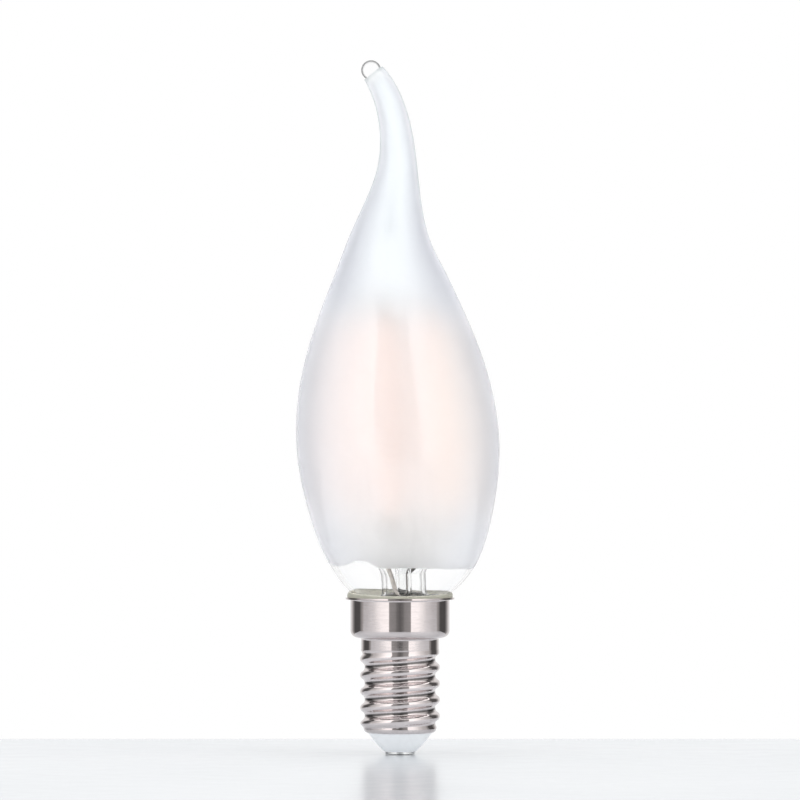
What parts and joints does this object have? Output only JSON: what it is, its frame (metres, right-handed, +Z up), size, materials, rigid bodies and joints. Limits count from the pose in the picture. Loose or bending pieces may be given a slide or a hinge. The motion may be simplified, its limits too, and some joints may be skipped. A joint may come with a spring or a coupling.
{
  "type": "candle bulb",
  "caption": "Frosted filament candle bulb with a drawn, bent flame tip, on a small nickel screw cap.",
  "frame": {"origin": "lowest point of the centre contact, on the axis of the screw cap", "axes": "+Z up along the cap's axis through the glass; the glass tip bends towards -X; the picture looks along +Y"},
  "size_m": [0.0352, 0.0352, 0.1203],
  "materials": {
    "frosted_glass": "frosted, glossy outside, clear at the neck and the tip's bead",
    "clear_glass": "clear",
    "nickel_plate": "bright nickel plate, faintly warm",
    "contact_metal": "tinned, satin",
    "insulator_white": "semi-gloss, cool white",
    "cement": "matt, olive grey",
    "phosphor": "matt, warm amber",
    "lead_metal": "drawn wire, satin",
    "tinned_wire": "tinned, satin",
    "board_laminate": "satin green",
    "moulded_black": "satin black",
    "capacitor_sleeve": "shrink sleeve",
    "resistor_coat": "lacquered"
  },
  "bodies": {
    "root": {"basing_cement": "cement", "branch_wire_live": "lead_metal", "branch_wire_neutral": "lead_metal", "bridge_rectifier": "moulded_black", "cap_shell": "nickel_plate", "centre_contact": "contact_metal", "current_regulator": "moulded_black", "driver_board": "board_laminate", "exhaust_tube": "clear_glass", "filament_tabs_1": "lead_metal", "filament_tabs_2": "lead_metal", "filament_tabs_3": "lead_metal", "filament_tabs_4": "lead_metal", "fuse_resistor": "resistor_coat", "glass_envelope": "frosted_glass", "glass_stem": "clear_glass", "insulator": "insulator_white", "lead_wire_live": "lead_metal", "lead_wire_neutral": "lead_metal", "led_filament_1": "phosphor", "led_filament_2": "phosphor", "led_filament_3": "phosphor", "led_filament_4": "phosphor", "live_feed_wire": "tinned_wire", "neutral_feed_wire": "tinned_wire", "smoothing_capacitor": "capacitor_sleeve", "top_bridge_wire_1": "lead_metal", "top_bridge_wire_2": "lead_metal"}
  },
  "joints": []
}
